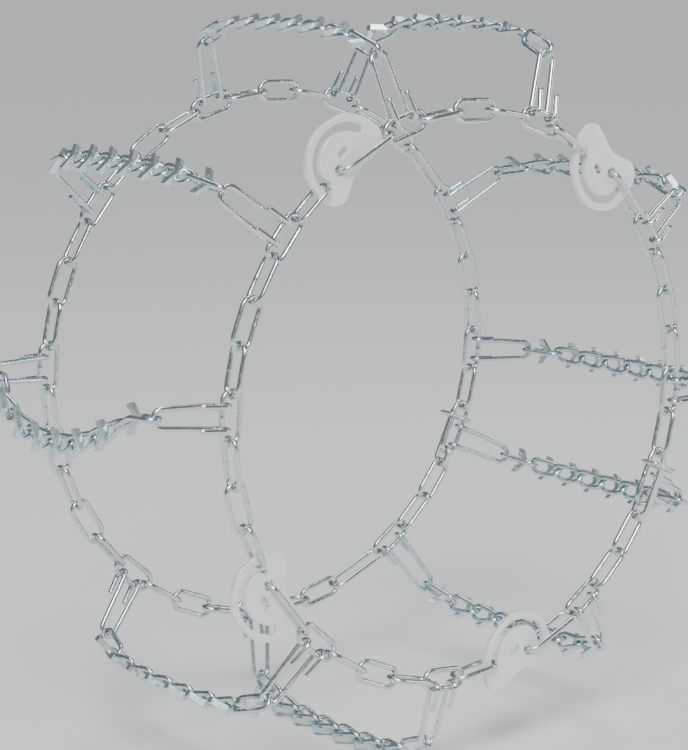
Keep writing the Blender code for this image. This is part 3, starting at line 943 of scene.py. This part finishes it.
def strip(rows, thickness):
    """The outline of a strip of this thickness along the points."""
    points = [Vector(row) for row in rows]
    left, right = [], []
    for place, point in enumerate(points):
        before = points[max(place - 1, 0)]
        after = points[min(place + 1, len(points) - 1)]
        direction = (after - before).normalized()
        normal = Vector((-direction.y, direction.x)) * (thickness / 2)
        left.append(tuple(point + normal))
        right.append(tuple(point - normal))
    return left + right[::-1]


def make_fastener(inner):
    ring = "inner" if inner else "outer"
    bottom, top, along, front = fastener_frame(inner)
    across = along.cross(front)
    width, thickness = LEVER
    pivot = top - along * LEVER_NOSE
    shank = bmesh.new()
    add_link(shank, bottom - along * (TOUCH / 2), pivot, across)
    finish_piece(shank, f"{ring}_fastener_shank", f"{ring}_long_link", [SIDE_ZINC])
    centre = WIRE / 2 + 3 * GAP + thickness / 2
    reach = LEVER_NOSE - TOUCH / 2
    rows = [(centre * math.sin(a), centre * math.cos(a)) for a in swung(-75, -180)]
    rows += [(reach + centre * math.sin(a), -centre * math.cos(a)) for a in swung(0, 140)]
    rows.append((reach - HANDLE_START, HANDLE_LIFT))
    rows.append((-(pivot - bottom).length + HANDLE_END, HANDLE_LIFT))
    matrix = frame_matrix(along, front, across, pivot)
    lever = stamped_plate("lever", [strip(rows, thickness)], width, LEVER_EDGE, matrix)
    finish_piece(lever, f"{ring}_fastener_lever", f"{ring}_closing_lever", [LEVER_ZINC])
    keeper = bmesh.new()
    place = bottom + along * KEEPER_PLACE
    back = -(WIRE / 2 + GAP + KEEPER_WIRE / 2)
    ahead = HANDLE_LIFT + thickness / 2 + GAP + KEEPER_WIRE / 2
    half = HALF_WIDTH + WIRE / 2 + GAP + KEEPER_WIRE / 2
    add_link(
        keeper, place + front * back, place + front * ahead, across, half, KEEPER_WIRE, KEEPER_BEND
    )
    finish_piece(keeper, f"{ring}_fastener_keeper", f"{ring}_keeper_ring", [LEVER_ZINC])


for inner in (False, True):
    make_fastener(inner)
print("fasteners:", 2)

# %% [markdown]
# ## Stage
# A plain pale floor and large soft lights. Bright metal shows what is round it, so the lights are
# broad sheets: they draw the long clean highlights that plated wire has.


# %% Floor and lights
def make_floor():
    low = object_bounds()[0]
    mesh = bmesh.new()
    bmesh.ops.create_grid(mesh, x_segments=1, y_segments=1, size=90.0)
    data = bpy.data.meshes.new("floor")
    mesh.to_mesh(data)
    mesh.free()
    floor = bpy.data.objects.new("floor", data)
    floor.location.z = low[2] - 0.0005
    bpy.context.scene.collection.objects.link(floor)
    paper = bpy.data.materials.new("pale_floor")
    paper.use_nodes = True
    shader = paper.node_tree.nodes["Principled BSDF"]
    shader.inputs["Base Color"].default_value = (0.86, 0.86, 0.86, 1)
    shader.inputs["Roughness"].default_value = 0.9
    data.materials.append(paper)


def add_light(name, place, size, power, aim=(0.0, 0.0, 0.0)):
    light = bpy.data.lights.new(name, "AREA")
    light.shape = "RECTANGLE"
    light.size, light.size_y = size
    light.energy = power
    lamp = bpy.data.objects.new(name, light)
    lamp.location = place
    lamp.rotation_euler = (Vector(aim) - Vector(place)).to_track_quat("-Z", "Y").to_euler()
    bpy.context.scene.collection.objects.link(lamp)


def add_sun(power, aim):
    """Even light over the whole floor, with soft shadows."""
    light = bpy.data.lights.new("sky_sheet", "SUN")
    light.energy = power
    light.angle = math.radians(25)
    lamp = bpy.data.objects.new("sky_sheet", light)
    lamp.rotation_euler = Vector(aim).to_track_quat("-Z", "Y").to_euler()
    bpy.context.scene.collection.objects.link(lamp)


make_floor()
add_sun(2.1, (0.5, 0.7, -1.0))
add_light("key", (-1.9, -2.0, 2.2), (1.0, 0.8), 50)
add_light("fill", (2.4, -1.6, 0.9), (0.5, 1.6), 16)
add_light("top", (0.3, 0.5, 2.6), (1.2, 0.9), 22)
world = bpy.data.worlds.new("studio")
world.use_nodes = True
world.node_tree.nodes["Background"].inputs["Color"].default_value = (0.34, 0.36, 0.38, 1)
world.node_tree.nodes["Background"].inputs["Strength"].default_value = 0.5
bpy.context.scene.world = world

# %% [markdown]
# ## Camera
# A long lens from a little above the axle, on the outer side, so that both the cams and the bars
# over the tread show.

# %% Camera
AZIMUTH = -38.188
ELEVATION = 10.699
DISTANCE = 2.197
FOCAL = 3.3607  # the focal length over the frame's long side
camera_data = bpy.data.cameras.new("camera")
camera_data.sensor_width = 36.0
camera_data.lens = FOCAL * camera_data.sensor_width
camera_data.shift_x = -0.0283
camera_data.shift_y = 0.0006
camera = bpy.data.objects.new("camera", camera_data)
az, el = math.radians(AZIMUTH), math.radians(ELEVATION)
toward = Vector((math.sin(az) * math.cos(el), -math.cos(az) * math.cos(el), math.sin(el)))
camera.location = toward * DISTANCE
camera.rotation_euler = (-toward).to_track_quat("-Z", "Y").to_euler()
bpy.context.scene.collection.objects.link(camera)
bpy.context.scene.camera = camera
print("camera at", [round(value, 3) for value in camera.location])
